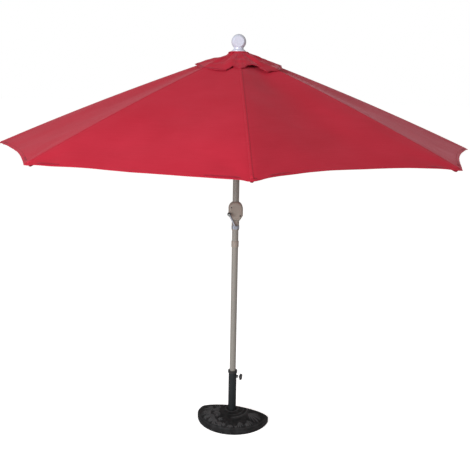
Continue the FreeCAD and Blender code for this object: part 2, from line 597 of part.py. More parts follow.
def gore(side_name, azimuth, sides):
    tag = "_" + side_name
    start, steps = size("cloth_start"), 8
    radii = [start + (reach - start) * k / steps for k in range(steps + 1)]
    cloth = part("Feature", "gore" + tag)
    cloth.Shape = plate_solid(panel_rows(radii, rib_height, 0.2, HEM_RISE, sides), size("cloth"))
    keep(turned(cloth, azimuth), "canopy" + tag)

    def cap_height(radius):
        start, end = size("cap_start"), size("cap_reach")
        share = (radius - start) / (end - start)
        edge = rib_height(end) + size("cloth") + 0.3
        return edge + (low - 5.5 - edge) * (1 - share) ** 0.9

    cap_radii = [size("cap_start"), 80.0, 120.0, 180.0, size("cap_reach")]
    cap = part("Feature", "cap" + tag)
    cap.Shape = plate_solid(panel_rows(cap_radii, cap_height, 0.2, 0.0, sides), size("cloth"))
    keep(turned(cap, azimuth), "vent_cap" + tag)


SIDES = {"left": (0, 1), "right": (-1, 0)}
for side_name, azimuth in AZIMUTHS:
    rib_parts(side_name, azimuth)
    strut_parts(side_name, azimuth)
    gore(side_name, azimuth, SIDES.get(side_name, (-1, 0, 1)))

# ---------------------------------------------------------------- runner
runner_low, runner_high = runner_z - 24.0, runner_z + 16.0
runner_skin = cylinder("runner_skin", "runner_outer", runner_high - runner_low, z=runner_low)
runner_bore = cylinder("runner_bore", "pole_outer + clear_gap", 100.0, z=runner_low - 20.0)
arms, gaps, stubs = [], [], []
for name, azimuth in AZIMUTHS:
    arms.append(turned(box("runner_arm_" + name, 24.0, 17.0, 20.0, x=24.0, y=-8.5, z=runner_z - 10.0), azimuth))
    gaps.append(turned(box("runner_gap_" + name, 40.0, 8.2, 120.0, x=29.5, y=-4.1, z=runner_z - 60.0), azimuth))
lug = box("runner_lug", 12.0, 14.0, 30.0, x=-6.0, y=22.0, z=runner_high - 30.0)
cord_y = pulley_y + pulley_r + 1.5
lug_hole = cylinder("lug_hole", 1.5, 60.0, y=cord_y, z=runner_high - 20.0)
runner_solid = fuse("runner_solid", runner_skin, lug, *arms)
stub_holes = []
for name, azimuth in AZIMUTHS:
    for sign in (-1, 1):
        low_y = -9.5 if sign < 0 else 4.3
        for word, rods in (("stub_", stubs), ("stub_hole_", stub_holes)):
            rod = cylinder("%s%s%d" % (word, name, sign), "pin_radius", 5.2, x=hub_r, y=low_y, z=runner_z,
                           turn=ALONG_Y)
            rods.append(turned(rod, azimuth))
keep(cut("runner", runner_solid, runner_bore, lug_hole, *(gaps + stub_holes)), "runner")
keep(group("runner_stubs", *stubs), "runner_pins")

# ---------------------------------------------------------------- lift cord
# Inside the pole the cord runs from the spool to the pulley and over it; outside it drops to the runner.
cord_r = 1.5
start = V(10.5, 0, crank_z)
over = pulley_r + 1.5
meet = V(0, pulley_y - over, pulley_z)
rise_path = Part.makeLine(start, meet)
arc_path = Part.Arc(meet, V(0, pulley_y, pulley_z + over), V(0, pulley_y + over, pulley_z)).toShape()
arc_tube = Part.Wire(arc_path).makePipeShell([Part.Wire(Part.makeCircle(cord_r, meet, V(0, 0, 1)))], True, False)
climb = meet - start
straight = Part.makeCylinder(cord_r, climb.Length, start, climb)
inner_cord = part("Feature", "cord_inner")
inner_cord.Shape = straight.fuse([arc_tube, Part.makeSphere(cord_r, meet)]).removeSplitter()
keep(inner_cord, "lift_cord_inner")
keep(cylinder("cord_outer", cord_r, pulley_z - 0.05 - (runner_high - 20.0), y=cord_y, z=runner_high - 20.0),
     "lift_cord_outer")

doc.recompute()
faults = []
for obj in doc.Objects:
    if any(word in obj.State for word in ("Invalid", "Error")):
        faults.append("%s: %s" % (obj.Name, obj.State))
for obj in NODES:
    shape = obj.Shape
    if shape.isNull() or not shape.isValid() or not shape.Solids:
        faults.append("%s: bad shape" % obj.Label)
if faults:
    raise RuntimeError("; ".join(faults))

os.makedirs("parts", exist_ok=True)
for obj in NODES:
    obj.Shape.exportStep("parts/%s.step" % obj.Label)
print("%d parts written" % len(NODES))
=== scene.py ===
import json
import math
import random

import bpy
from mathutils import Matrix, Vector, noise


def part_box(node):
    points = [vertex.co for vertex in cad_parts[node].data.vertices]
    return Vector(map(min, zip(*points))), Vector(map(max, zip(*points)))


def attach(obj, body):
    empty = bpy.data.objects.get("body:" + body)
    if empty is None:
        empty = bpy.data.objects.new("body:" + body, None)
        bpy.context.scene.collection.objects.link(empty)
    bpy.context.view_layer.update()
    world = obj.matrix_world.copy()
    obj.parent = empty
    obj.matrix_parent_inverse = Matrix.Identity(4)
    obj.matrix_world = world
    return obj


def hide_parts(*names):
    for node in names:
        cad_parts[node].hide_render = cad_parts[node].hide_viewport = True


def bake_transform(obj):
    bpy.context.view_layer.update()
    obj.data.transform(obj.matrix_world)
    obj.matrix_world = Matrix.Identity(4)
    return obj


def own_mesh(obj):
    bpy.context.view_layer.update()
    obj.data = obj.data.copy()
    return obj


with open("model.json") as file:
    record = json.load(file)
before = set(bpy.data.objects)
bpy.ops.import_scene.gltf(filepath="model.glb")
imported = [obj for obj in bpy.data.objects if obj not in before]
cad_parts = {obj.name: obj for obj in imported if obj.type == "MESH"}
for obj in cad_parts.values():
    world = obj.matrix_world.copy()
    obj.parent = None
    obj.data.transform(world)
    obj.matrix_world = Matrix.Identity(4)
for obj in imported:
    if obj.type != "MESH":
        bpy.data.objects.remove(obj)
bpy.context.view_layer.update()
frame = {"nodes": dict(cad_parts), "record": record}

# A half-round balcony parasol on a half-round cast foot. Metres; the pole stands on the origin and the
# canopy opens towards -Y. The rib and canopy sizes below are the frame's own.
MM = 0.001
HUB_RADIUS, HUB_HEIGHT = 0.040, 2.235        # rib pivots
REACH, RIB_FALL, RIB_BOW = 1.350, 0.508, 0.014
CLOTH_LIFT = 0.012                           # cloth's top face over the rib's centre line
RIB_SET_BACK = 0.026                         # rib's end in from the canopy's corner, along the slope
CLOTH_START = 0.125                          # inner edge of the canopy
CANOPY_THICK, CAP_THICK = 0.0012, 0.0010     # coated cloth of the canopy and of the vent cap
HALF_PANEL = math.radians(22.5)              # from a rib to the middle of the panel beside it
CHORD = math.hypot(REACH - HUB_RADIUS, RIB_FALL)
SLOPE = math.atan2(RIB_FALL, REACH - HUB_RADIUS)
RIBS = [("left", 180), ("front_left", 225), ("front", 270), ("front_right", 315), ("right", 360)]


# ---------------------------------------------------------------- finishes
def colour(code):
    """Linear colour from an sRGB hex value."""
    parts = [int(code[i:i + 2], 16) / 255 for i in (1, 3, 5)]
    return tuple(c / 12.92 if c <= 0.04045 else ((c + 0.055) / 1.055) ** 2.4 for c in parts) + (1.0,)


def add(tree, kind, inputs=None, **settings):
    """Adds one shader node with its settings; its sockets take values or other nodes' outputs."""
    made = tree.nodes.new("ShaderNode" + kind)
    for word, value in settings.items():
        setattr(made, word, value)
    for socket, value in (inputs or {}).items():
        if isinstance(value, bpy.types.NodeSocket):
            tree.links.new(value, made.inputs[socket])
        else:
            made.inputs[socket].default_value = value
    return made


def finish(name, base, roughness, **sockets):
    """A material with one principled shader; returns it with its node tree and the shader."""
    made = bpy.data.materials.new(name)
    made.use_nodes = True
    tree = made.node_tree
    tree.nodes.clear()
    shader = add(tree, "BsdfPrincipled", {"Base Color": colour(base), "Roughness": roughness})
    for word, value in sockets.items():
        shader.inputs[word.replace("_", " ")].default_value = value
    add(tree, "OutputMaterial", {"Surface": shader.outputs[0]})
    return made, tree, shader


def object_place(tree):
    return add(tree, "TexCoord").outputs["Object"]


def coated(name, low, high, roughness, grain_mm, bump, height, **sockets):
    """A coated or moulded surface: slight colour drift over a hand's width, and a fine grain that shows in
    the bump and in the roughness."""
    made, tree, shader = finish(name, low, roughness, **sockets)
    place = object_place(tree)
    drift = add(tree, "TexNoise", {"Vector": place, "Scale": 9.0, "Detail": 4.0})
    mixed = add(tree, "Mix", {0: drift.outputs["Fac"], 6: colour(low), 7: colour(high)}, data_type="RGBA")
    tree.links.new(mixed.outputs[2], shader.inputs["Base Color"])
    grain = add(tree, "TexNoise", {"Vector": place, "Scale": 1000.0 / grain_mm, "Detail": 3.0})
    ridge = add(tree, "Bump", {"Height": grain.outputs["Fac"], "Strength": bump, "Distance": height})
    tree.links.new(ridge.outputs[0], shader.inputs["Normal"])
    rough = add(tree, "MapRange", {"Value": grain.outputs["Fac"], 1: 0.3, 2: 0.7,
                                   3: roughness - 0.05, 4: roughness + 0.07})
    tree.links.new(rough.outputs[0], shader.inputs["Roughness"])
    return made


# A wave texture of scale 1 repeats every pi/10 m. Threads of 0.4 mm are drawn 1.57 mm apart, so that they
# show at all.
THREAD_SCALE = math.pi / 10 / 0.0015708


def woven_polyester(name, low, high):
    """Piece-dyed polyester in plain weave, coated on the back: even colour, faint slubs along the weft, and
    a soft pale sheen when seen edge-on."""
    made, tree, shader = finish(name, low, 0.70, Sheen_Weight=0.25, Sheen_Roughness=0.25,
                                Sheen_Tint=colour("#E6B8C4"), Specular_IOR_Level=0.20, IOR=1.48)
    place = add(tree, "UVMap", uv_map="Weave").outputs[0]
    warp = add(tree, "TexWave", {"Vector": place, "Scale": THREAD_SCALE, "Distortion": 0.4},
               bands_direction="X")
    weft = add(tree, "TexWave", {"Vector": place, "Scale": THREAD_SCALE, "Distortion": 0.4},
               bands_direction="Y")
    threads = add(tree, "Math", {0: warp.outputs["Fac"], 1: weft.outputs["Fac"]}, operation="MAXIMUM")
    # Slubs: thick places in the weft, some 150 mm long and 3 mm wide.
    stretched = add(tree, "Mapping", {"Vector": place, "Scale": (7.0, 330.0, 1.0)})
    slub = add(tree, "TexNoise", {"Vector": stretched.outputs[0], "Scale": 1.0, "Detail": 2.0})
    # Dye takes a little unevenly over a hand's width.
    cloud = add(tree, "TexNoise", {"Vector": place, "Scale": 4.0, "Detail": 3.0})
    tone = add(tree, "Math", {0: slub.outputs["Fac"], 1: cloud.outputs["Fac"]}, operation="ADD")
    share = add(tree, "MapRange", {"Value": tone.outputs[0], 1: 0.75, 2: 1.25, 3: 0.0, 4: 1.0})
    dyed = add(tree, "Mix", {0: share.outputs[0], 6: colour(low), 7: colour(high)}, data_type="RGBA")
    tree.links.new(dyed.outputs[2], shader.inputs["Base Color"])
    height = add(tree, "Math", {0: slub.outputs["Fac"], 1: 0.5, 2: threads.outputs[0]},
                 operation="MULTIPLY_ADD")
    relief = add(tree, "Bump", {"Height": height.outputs[0], "Strength": 0.20, "Distance": 0.0004})
    tree.links.new(relief.outputs[0], shader.inputs["Normal"])
    return made


def cast_resin(name):
    """Stone-filled resin cast in a mould and painted near-black: matte, a little paler where the relief
    stands proud, and pitted by grains of filler. The grains are drawn 2.4 mm apart, so that
    they show, and the paint's blotches are some 30 mm wide."""
    made, tree, shader = finish(name, "#2A2A2B", 0.55, Specular_IOR_Level=0.20)
    place = object_place(tree)
    proud = add(tree, "Attribute", attribute_name="relief").outputs["Fac"]
    grain = add(tree, "TexNoise", {"Vector": place, "Scale": 420.0, "Detail": 4.0, "Roughness": 0.65})
    blotch = add(tree, "TexNoise", {"Vector": place, "Scale": 30.0, "Detail": 5.0})
    # Paint blotches, and a paler tone where the relief stands proud.
    blotch_and_proud = add(tree, "Math", {0: blotch.outputs["Fac"], 1: 0.75, 2: proud},
               operation="MULTIPLY_ADD")
    share = add(tree, "MapRange", {"Value": blotch_and_proud.outputs[0], 1: 0.30, 2: 1.40, 3: 0.0, 4: 1.0})
    tone = add(tree, "Mix", {0: share.outputs[0], 6: colour("#0F0F10"), 7: colour("#424243")},
               data_type="RGBA")
    tree.links.new(tone.outputs[2], shader.inputs["Base Color"])
    rough = add(tree, "MapRange", {"Value": share.outputs[0], 1: 0.0, 2: 1.0, 3: 0.70, 4: 0.46})
    tree.links.new(rough.outputs[0], shader.inputs["Roughness"])
    pits = add(tree, "Bump", {"Height": grain.outputs["Fac"], "Strength": 0.35, "Distance": 0.0005})
    tree.links.new(pits.outputs[0], shader.inputs["Normal"])
    return made


def plated(name, low, high, roughness, brush, **sockets):
    """Plated steel: the base was polished or drawn first, so faint lines run along it under the plating.
    brush says how many lines there are to a metre each way."""
    made, tree, shader = finish(name, low, roughness, Metallic=1.0, **sockets)
    place = object_place(tree)
    lines = add(tree, "Mapping", {"Vector": place, "Scale": brush})
    drawn = add(tree, "TexNoise", {"Vector": lines.outputs[0], "Scale": 1.0, "Detail": 3.0})
    tone = add(tree, "Mix", {0: drawn.outputs["Fac"], 6: colour(low), 7: colour(high)}, data_type="RGBA")
    tree.links.new(tone.outputs[2], shader.inputs["Base Color"])
    rough = add(tree, "MapRange", {"Value": drawn.outputs["Fac"], 1: 0.3, 2: 0.7, 3: roughness * 0.8,
                                   4: roughness * 1.3})
    tree.links.new(rough.outputs[0], shader.inputs["Roughness"])
    return made


def braided_cord(name):
    """Braided polyester cord, off-white and dull: strands that cross, with a painted highlight on their tops
    and painted shade in between.
    """
    made, tree, shader = finish(name, "#D8D4C8", 0.75, Sheen_Weight=0.2)
    place = object_place(tree)
    # Strands about 1.3 mm apart.
    strands = add(tree, "TexWave", {"Vector": place, "Scale": 500.0, "Distortion": 1.5},
                  bands_direction="DIAGONAL")
    # Painted shade between the strands, painted highlight on their tops.
    tone = add(tree, "Mix", {0: strands.outputs["Fac"], 6: colour("#B9B4A6"), 7: colour("#E6E2D8")},
               data_type="RGBA")
    tree.links.new(tone.outputs[2], shader.inputs["Base Color"])
    return made


CANOPY_CLOTH = woven_polyester("woven_polyester_wine_red", "#B31E32", "#BB263A")
# Painted shade: the hem is coloured deeper than the canopy, for the light that the doubled cloth doesn't let
# through.
HEM_CLOTH = woven_polyester("woven_polyester_wine_red_hem_painted_shade", "#9C142A", "#A61B33")
# Painted shade: the pocket is coloured deeper still, for the shade under the canopy's corner.
POCKET_CLOTH = woven_polyester("woven_polyester_wine_red_pocket_painted_shade", "#7C1022", "#861528")
# Twisted polyester thread: a little deeper in colour than the cloth, and dull.
THREAD = coated("polyester_sewing_thread", "#8C1E2C", "#A02838", 0.6, 1.0, 0.2, 0.0002)
FINISHES = {
    "resin": cast_resin("cast_resin_painted_black"),
    # Powder coat baked on steel tube: satin, with the faint orange peel of the melted powder, 2.5 mm wide.
    "black_steel": coated("powder_coat_black_on_steel", "#15191B", "#1D2224", 0.46, 2.5, 0.12, 0.0003,
                          Specular_IOR_Level=0.28),
    "taupe_steel": coated("powder_coat_taupe_on_steel", "#7F7B74", "#837F78", 0.40, 2.5, 0.10, 0.0003),
    # Glass-filled nylon moulded in spark-eroded tools: dull, with a fine leathery grain.
    "black_plastic": coated("moulded_nylon_black", "#161617", "#1F1F20", 0.48, 1.2, 0.20, 0.0002),
    "taupe_plastic": coated("moulded_nylon_taupe", "#877D73", "#8D837A", 0.50, 1.2, 0.18, 0.0002),
    # ABS moulded in a polished tool: glossy, with slow waves 6 mm wide in the shine.
    "grey_plastic": coated("moulded_abs_pale_grey", "#C0C4D2", "#CACDDA", 0.30, 6.0, 0.05, 0.0002,
                           Coat_Weight=0.3, Coat_Roughness=0.1),
    # Chrome over polished steel: a clear mirror, its colour darkened and tinted blue as painted reflection
    # of darker surroundings.
    "chrome": plated("chrome_plated_steel", "#A2A5B2", "#B8BBC6", 0.11, (40.0, 40.0, 600.0)),
    # Zinc over turned steel: a soft grey shine without a clear mirror.
    "zinc_steel": plated("zinc_plated_steel", "#A9ABA8", "#C0C2C0", 0.34, (300.0, 300.0, 300.0)),
    "cord": braided_cord("braided_polyester_cord"),
    "cloth": CANOPY_CLOTH,
}
for row in frame["record"]["subparts"]:
    for spot in frame["nodes"][row["node"]].material_slots:
        spot.link = "OBJECT"
        spot.material = FINISHES[row["material_slot"]]


# ---------------------------------------------------------------- making pieces
def make(name, points, faces, material, weave=None):
    """A smooth-shaded mesh object; weave holds one cloth coordinate per face corner."""
    mesh = bpy.data.meshes.new(name)
    mesh.from_pydata([tuple(p) for p in points], [], faces)
    if weave:
        layer = mesh.uv_layers.new(name="Weave")
        for corner, place in zip(layer.data, weave):
            corner.uv = place
    mesh.shade_smooth()
    mesh.materials.append(material)
    made = bpy.data.objects.new(name, mesh)
    bpy.context.scene.collection.objects.link(made)
    return made


def keep_edges_crisp(piece):
    """Marks the open edges of a sheet, so that its thickness doesn't bend the shading there."""
    used = {}
    for face in piece.data.polygons:
        for key in face.edge_keys:
            used[key] = used.get(key, 0) + 1
    for edge in piece.data.edges:
        edge.use_edge_sharp = used.get(edge.key, 0) < 2
    return piece


def grid(rows, columns, ring=False):
    """Faces of a grid of points laid row after row; ring closes each row on itself."""
    found = []
    for i in range(rows - 1):
        here, below = i * columns, (i + 1) * columns
        for j in range(columns if ring else columns - 1):
            k = (j + 1) % columns
            found.append((here + j, here + k, below + k, below + j))
    return found


def thicken(piece, thick):
    """Gives a sheet its thickness, on its underside."""
    keep_edges_crisp(piece)
    solid = piece.modifiers.new("Thickness", "SOLIDIFY")
    solid.thickness = thick
    solid.offset = -1.0
    return piece


def turned(point, azimuth):
    c, s = math.cos(azimuth), math.sin(azimuth)
    return Vector((point[0] * c - point[1] * s, point[0] * s + point[1] * c, point[2]))


def fold_with_rib(piece, rib):
    """The piece swings with its rib."""
    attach(piece, "rib_%s_body" % rib)
    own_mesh(piece)
    return piece


# ---------------------------------------------------------------- canopy
# Between neighbouring ribs, from the left: how far the hem is drawn in at the middle, and how deep the
# cloth hangs.
PANELS = [(0.030, 0.014), (0.013, 0.010), (0.060, 0.016), (0.032, 0.012)]


def rib_top(radius):
    """Height of the cloth over a rib at a distance from the pole's axis."""
    along = (radius - HUB_RADIUS) / math.cos(SLOPE)
    for _ in range(2):
        lift = 4 * RIB_BOW * (along / CHORD) * (1 - along / CHORD)
        along = (radius - HUB_RADIUS - lift * math.sin(SLOPE)) / math.cos(SLOPE)
    return HUB_HEIGHT - along * math.sin(SLOPE) + lift * math.cos(SLOPE) + CLOTH_LIFT / math.cos(SLOPE)


def ease(share):
    """Runs from 0 to 1 and is flat at both ends."""
    return (1 - math.cos(math.pi * share)) / 2


def between(level, across):
    """Plan point at a level, from the rib (0) to the middle of a panel (1 or -1)."""
    side, share = math.copysign(1, across), abs(across)
    middle = level * math.cos(HALF_PANEL)
    x = level + (middle * math.cos(HALF_PANEL) - level) * share
    return x, side * middle * math.sin(HALF_PANEL) * share


def canopy_point(rib, across, down):
    """Point of the canopy's top face: rib number, -1 to 1 across its two half panels, and 0 to 1 down to
    the hem."""
    draw, sag = PANELS[rib if across > 0 else rib - 1] if across else (0.0, 0.0)
    share = abs(across)
    level = CLOTH_START + (REACH - CLOTH_START - draw * share * (2 - share)) * down
    x, y = between(level, across)
    place = turned((x, y, 0), math.radians(RIBS[rib][1]))
    hang = sag * ease(share) * math.sin(math.pi * (0.10 + 0.80 * down))
    # The cloth is never quite flat: slow waves that die out at the ribs, and pulls that fan out from the
    # tips.
    wave = noise.noise(Vector((place.x * 3.1, place.y * 3.1, 4.0))) * 0.005
    wave += noise.noise(Vector((place.x * 9.0, place.y * 9.0, 1.0))) * 0.0016
    reach = math.hypot(x - REACH, y)
    fan = math.atan2(abs(y), REACH - x + 0.02)
    pull = 0.0032 * math.exp(-reach / 0.17) * math.sin(9.0 * fan) * min(1.0, share * 14)
    place.z = rib_top(level) - hang + (wave * min(1.0, share * 5) + pull)
    return place


def sides_of(rib):
    """How far a rib's cloth reaches on each side: the end ribs have a panel on one side only."""
    return (0.0 if rib == 0 else -1.0), (0.0 if rib == len(RIBS) - 1 else 1.0)


def frame_of(surface, rib, across, down):
    """Point of a surface with its unit directions: across, down the slope, and out of the cloth."""
    here, step = surface(rib, across, down), 0.004
    low, high = sides_of(rib)
    above, left = min(down, 1 - step), max(low, min(across, high - step))
    fall = (surface(rib, across, above + step) - surface(rib, across, above)).normalized()
    span = (surface(rib, left + step, down) - surface(rib, left, down)).normalized()
    out = fall.cross(span)
    if out.z < 0:
        out = -out
    return here, span, fall, out.normalized()


def cloth_place(rib, across, level):
    """Cloth coordinate in metres: along the weft from the panel's middle, and down the warp."""
    side = 1 if across > 0 else -1
    panel = rib if across > 0 else rib - 1
    return (panel * 3.7 + side * (abs(across) - 1) * level * math.sin(HALF_PANEL),
            level * math.cos(HALF_PANEL) / math.cos(SLOPE))


def spread(low, high, count):
    """Evenly spaced shares, with one on 0 where the rib is."""
    if low < 0 < high:
        half = count // 2
        return [low + -low * k / half for k in range(half)] + [high * k / half for k in range(half + 1)]
    half = count // 2
    return [low + (high - low) * k / half for k in range(half + 1)]


def cloth_gore(name, surface, rib, start, end, rows, columns):
    """The piece of cloth over one rib, out to the middle of the panel on each side."""
    shares = spread(*sides_of(rib), columns)
    downs = [i / (rows - 1) for i in range(rows)]
    points = [surface(rib, a, d) for d in downs for a in shares]
    faces = grid(rows, len(shares))
    weave = []
    for face in faces:
        middle = sum(shares[k % len(shares)] for k in face) / 4
        for k in face:
            a, d = shares[k % len(shares)], downs[k // len(shares)]
            side_share = math.copysign(max(abs(a), 1e-6), middle)
            weave.append(cloth_place(rib, side_share, start + (end - start) * d))
    return make(name, points, faces, CANOPY_CLOTH, weave)


WEAVE_STEP = 0.004        # cloth coordinate from one point of a band to the next


def strip(name, rows, material):
    """A closed band lofted through rows of section points."""
    width = len(rows[0])
    points = [p for row in rows for p in row]
    faces = grid(len(rows), width, ring=True)
    faces.append(tuple(reversed(range(width))))
    faces.append(tuple(range(len(points) - width, len(points))))
    weave = [(k % width * WEAVE_STEP, k // width * WEAVE_STEP) for face in faces for k in face]
    return make(name, points, faces, material, weave)


# Hem: the edge turned twice and sewn, 20 mm wide. Distance in from the edge and height out of the cloth, mm.
HEM = [(21, 0.1), (20, 0.9), (11, 1.1), (2, 1.0), (-0.6, 0.2), (-0.8, -0.8), (-0.2, -1.8), (2, -2.4),
       (11, -2.5), (20, -2.2), (21, -1.3)]
# Felled seam over the rib: across the rib and out of the cloth, mm.
FELL = [(-8.0, -0.4), (-7.4, 1.0), (-4.0, 1.5), (0.0, 1.9), (4.0, 1.5), (7.4, 1.0), (8.0, -0.4)]


def hem_band(name, surface, rib, steps):
    rows = []
    for a in spread(*sides_of(rib), steps):
        here, _, fall, out = frame_of(surface, rib, a, 1.0)
        rows.append([here - fall * (inward * MM) + out * (lift * MM) for inward, lift in HEM])
    return strip(name, rows, HEM_CLOTH)


SEAM_FROM, SEAM_SHARE = 0.004, 0.985        # a seam starts and stops just short of the cloth's edges


def fell_seam(name, surface, rib, start, length, steps):
    low, high = sides_of(rib)
    rows = []
    for i in range(steps + 1):
        d = SEAM_FROM + SEAM_SHARE * i / steps
        level = start + length * d
        row = []
        for wide, lift in FELL:
            share = wide * MM / (level * math.sin(HALF_PANEL))
            share = min(max(share, low), high)
            here, _, _, out = frame_of(surface, rib, share, d)
            row.append(here + out * (lift * MM) + Vector((0, 0, 0.0002)))
        rows.append(row)
    return strip(name, rows, CANOPY_CLOTH)


def stitches(name, spots):
    """Lockstitch: one small bead of thread per stitch, from the (middle, direction, outward) of each."""
    points, faces = [], []
    for middle, along, out in spots:
        side = along.cross(out).normalized()
        base = len(points)
        points.append(middle - along * 0.0026)
        for shift in (-0.0014, 0.0014):
            for k in range(6):
                a = math.radians(60 * k)
                points.append(middle + along * shift + side * (0.0007 * math.cos(a))
                              + out * (0.0005 * math.sin(a)))
        points.append(middle + along * 0.0026)
        for k in range(6):
            n = (k + 1) % 6
            faces.append((base, base + 1 + n, base + 1 + k))
            faces.append((base + 1 + k, base + 1 + n, base + 7 + n, base + 7 + k))
            faces.append((base + 13, base + 7 + k, base + 7 + n))
    return make(name, points, faces, THREAD)


STITCH_PITCH = 0.007      # real stitches are 3.5 mm; drawn at twice that so that they show
SEAM_ROW = 0.0055         # the two rows of a seam, out from its middle


def hem_stitches(surface, rib, half_length, inward=0.017):
    low, high = sides_of(rib)
    count = int(half_length / STITCH_PITCH)
    found = []
    for k in range(-count, count):
        a = (k + 0.5) / count
        if low < a < high:
            here, span, fall, out = frame_of(surface, rib, a, 1.0)
            found.append((here - fall * inward + out * 0.0013, span, out))
    return found


def seam_stitches(surface, rib, start, length):
    low, high = sides_of(rib)
    count = int(length / math.cos(SLOPE) / STITCH_PITCH)
    found = []
    for wide in (-SEAM_ROW, SEAM_ROW):
        for k in range(count):
            d = (k + 0.5) / count * SEAM_SHARE
            share = wide / ((start + length * d) * math.sin(HALF_PANEL))
            if low < share < high:
                here, _, fall, out = frame_of(surface, rib, share, d)
                found.append((here + out * 0.0016, fall, out))
    return found


# Pocket, mm: distance back from the rib's end, half width, height above and below the rib's centre.
POCKET = [(46, 7.5, 9.6, 9.6), (41, 8.6, 10.0, 10.6), (32, 8.8, 10.0, 10.8), (20, 8.8, 10.0, 10.8),
          (10, 8.6, 10.0, 10.6), (4, 8.0, 9.6, 10.2), (0.2, 6.4, 8.0, 8.2), (-1.6, 3.6, 4.6, 4.8)]


def tip_pocket(name, rib):
    """Pocket of doubled cloth sewn under the canopy's corner, pulled over the rib's end."""
    azimuth = math.radians(RIBS[rib][1])
    rows, around = [], 16
    for back, half, above, below in POCKET:
        radius = REACH - (back * MM + RIB_SET_BACK) * math.cos(SLOPE)
        centre = Vector((radius, 0, rib_top(radius) - CLOTH_LIFT / math.cos(SLOPE)))
        row = []
        for k in range(around):
            a = 2 * math.pi * k / around
            c, s = math.cos(a), math.sin(a)
            wide = half * math.copysign(abs(c) ** 0.6, c)
            tall = (above if s > 0 else below) * math.copysign(abs(s) ** 0.6, s)
            pucker = 1 + 0.05 * math.sin(5 * a + back * 0.4)
            off = Vector((math.sin(SLOPE) * tall, wide * pucker, math.cos(SLOPE) * tall)) * MM
            row.append(turned(centre + off, azimuth))
        rows.append(row)
    # The pocket's cloth carries painted shade.
    return strip(name, rows, POCKET_CLOTH)


for rib, (label, degrees) in enumerate(RIBS):
    gore = cloth_gore("canopy_cloth_" + label, canopy_point, rib, CLOTH_START, REACH, 46, 40)
    thicken(gore, CANOPY_THICK)
    fold_with_rib(gore, label)
    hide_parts("canopy_" + label)
    hem = hem_band("canopy_hem_" + label, canopy_point, rib, 56)
    seam = fell_seam("canopy_seam_" + label, canopy_point, rib, CLOTH_START, REACH - CLOTH_START, 60)
    spots = hem_stitches(canopy_point, rib, 0.5 * REACH * math.sin(2 * HALF_PANEL))
    spots += seam_stitches(canopy_point, rib, CLOTH_START, REACH - CLOTH_START)
    sewing = stitches("canopy_stitching_" + label, spots)
    for piece in (hem, seam, sewing):
        fold_with_rib(piece, label)
    pocket = tip_pocket("rib_pocket_" + label, rib)
    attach(pocket, "rib_%s_body" % label)


# ---------------------------------------------------------------- vent cap
CAP_START, CAP_TOP = 0.048, 2.2585
# The cap's lower edge by azimuth in degrees: how far it reaches, and how high it stands off the canopy, m.
CAP_EDGE = [(180, 0.243, 0.0130), (186, 0.246, 0.0100), (200, 0.258, 0.0050), (216, 0.276, 0.0035),
            (236, 0.297, 0.0035), (248, 0.309, 0.0035), (254, 0.311, 0.0035), (257, 0.290, 0.0070),
            (261, 0.262, 0.0090), (265, 0.276, 0.0060), (269, 0.289, 0.0035), (273, 0.280, 0.0070),
            (280, 0.256, 0.0130), (286, 0.254, 0.0150), (291, 0.262, 0.0140), (295, 0.300, 0.0080),
            (298, 0.319, 0.0045), (306, 0.306, 0.0040), (326, 0.286, 0.0060), (345, 0.262, 0.0080),
            (360, 0.242, 0.0130)]
# Folds that run down from the crown: azimuth and half width in degrees, height in m, and where down the
# slope they are highest.
FOLDS = [(255, 12, 0.010, 0.62), (303, 12, 0.013, 0.52), (236, 12, -0.012, 0.34), (222, 9, 0.006, 0.50),
         (208, 9, -0.005, 0.45), (325, 9, -0.006, 0.45), (342, 10, 0.007, 0.50), (290, 9, -0.003, 0.40)]


def bell(value, middle, half):
    """A smooth hump of height 1 round a middle value."""
    gap = abs(value - middle) / half
    return ease(1 - gap) if gap < 1 else 0.0


def facing_of(rib, across):
    """Azimuth in degrees of a place on a rib's cloth."""
    x, y = between(1.0, across)
    return RIBS[rib][1] + math.degrees(math.atan2(y, x))


def cap_edge(facing):
    """Reach and lift of the cap's edge at an azimuth."""
    for (low, *near), (high, *far) in zip(CAP_EDGE, CAP_EDGE[1:]):
        if facing <= high:
            share = ease(max(0.0, (facing - low) / (high - low)))
            return [a + (b - a) * share for a, b in zip(near, far)]
    return CAP_EDGE[-1][1:]


def cap_point(rib, across, down):
    """Point of the vent cap's top face."""
    facing = facing_of(rib, across)
    reach, lift = cap_edge(facing)
    level = CAP_START + (reach - CAP_START) * down
    x, y = between(level, across)
    place = turned((x, y, 0), math.radians(RIBS[rib][1]))
    edge = rib_top(reach) + lift
    # In front the cloth falls straight; towards the left it drops off the crown and then bulges.
    aside = ease(min(1.0, max(0.0, (244 - facing) / 34)))
    steep = 0.30 * (1 - ease(min(1.0, down / 0.17))) + 0.70 * (1 - down ** 1.6)
    height = edge + (CAP_TOP - edge) * (steep * aside + (1 - down) * (1 - aside))
    fold = sum(tall * bell(facing, where, half) * bell(down, high, 0.55)
               for where, half, tall, high in FOLDS) * (1 - down ** 3)
    # Left of the crown the cloth has sunk between two folds.
    sink = -0.010 * bell(facing, 196, 30) * bell(down, 0.17, 0.3)
    crumple = noise.noise(Vector((place.x * 26, place.y * 26, 7.0))) * 0.0045
    crumple *= math.sin(math.pi * min(1, down * 1.05))
    place.z = max(height + fold + sink + crumple, rib_top(level) + 0.0030)
    return place


for rib, (label, degrees) in enumerate(RIBS):
    reach = cap_edge(degrees)[0]
    gore = cloth_gore("vent_cloth_" + label, cap_point, rib, CAP_START, reach, 34, 96)
    thicken(gore, CAP_THICK)
    fold_with_rib(gore, label)
    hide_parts("vent_cap_" + label)
    hem = hem_band("vent_hem_" + label, cap_point, rib, 96)
    spots = hem_stitches(cap_point, rib, 0.5 * reach * math.sin(2 * HALF_PANEL), 0.015)
    sewing = stitches("vent_stitching_" + label, spots)
    for piece in (hem, sewing):
        fold_with_rib(piece, label)


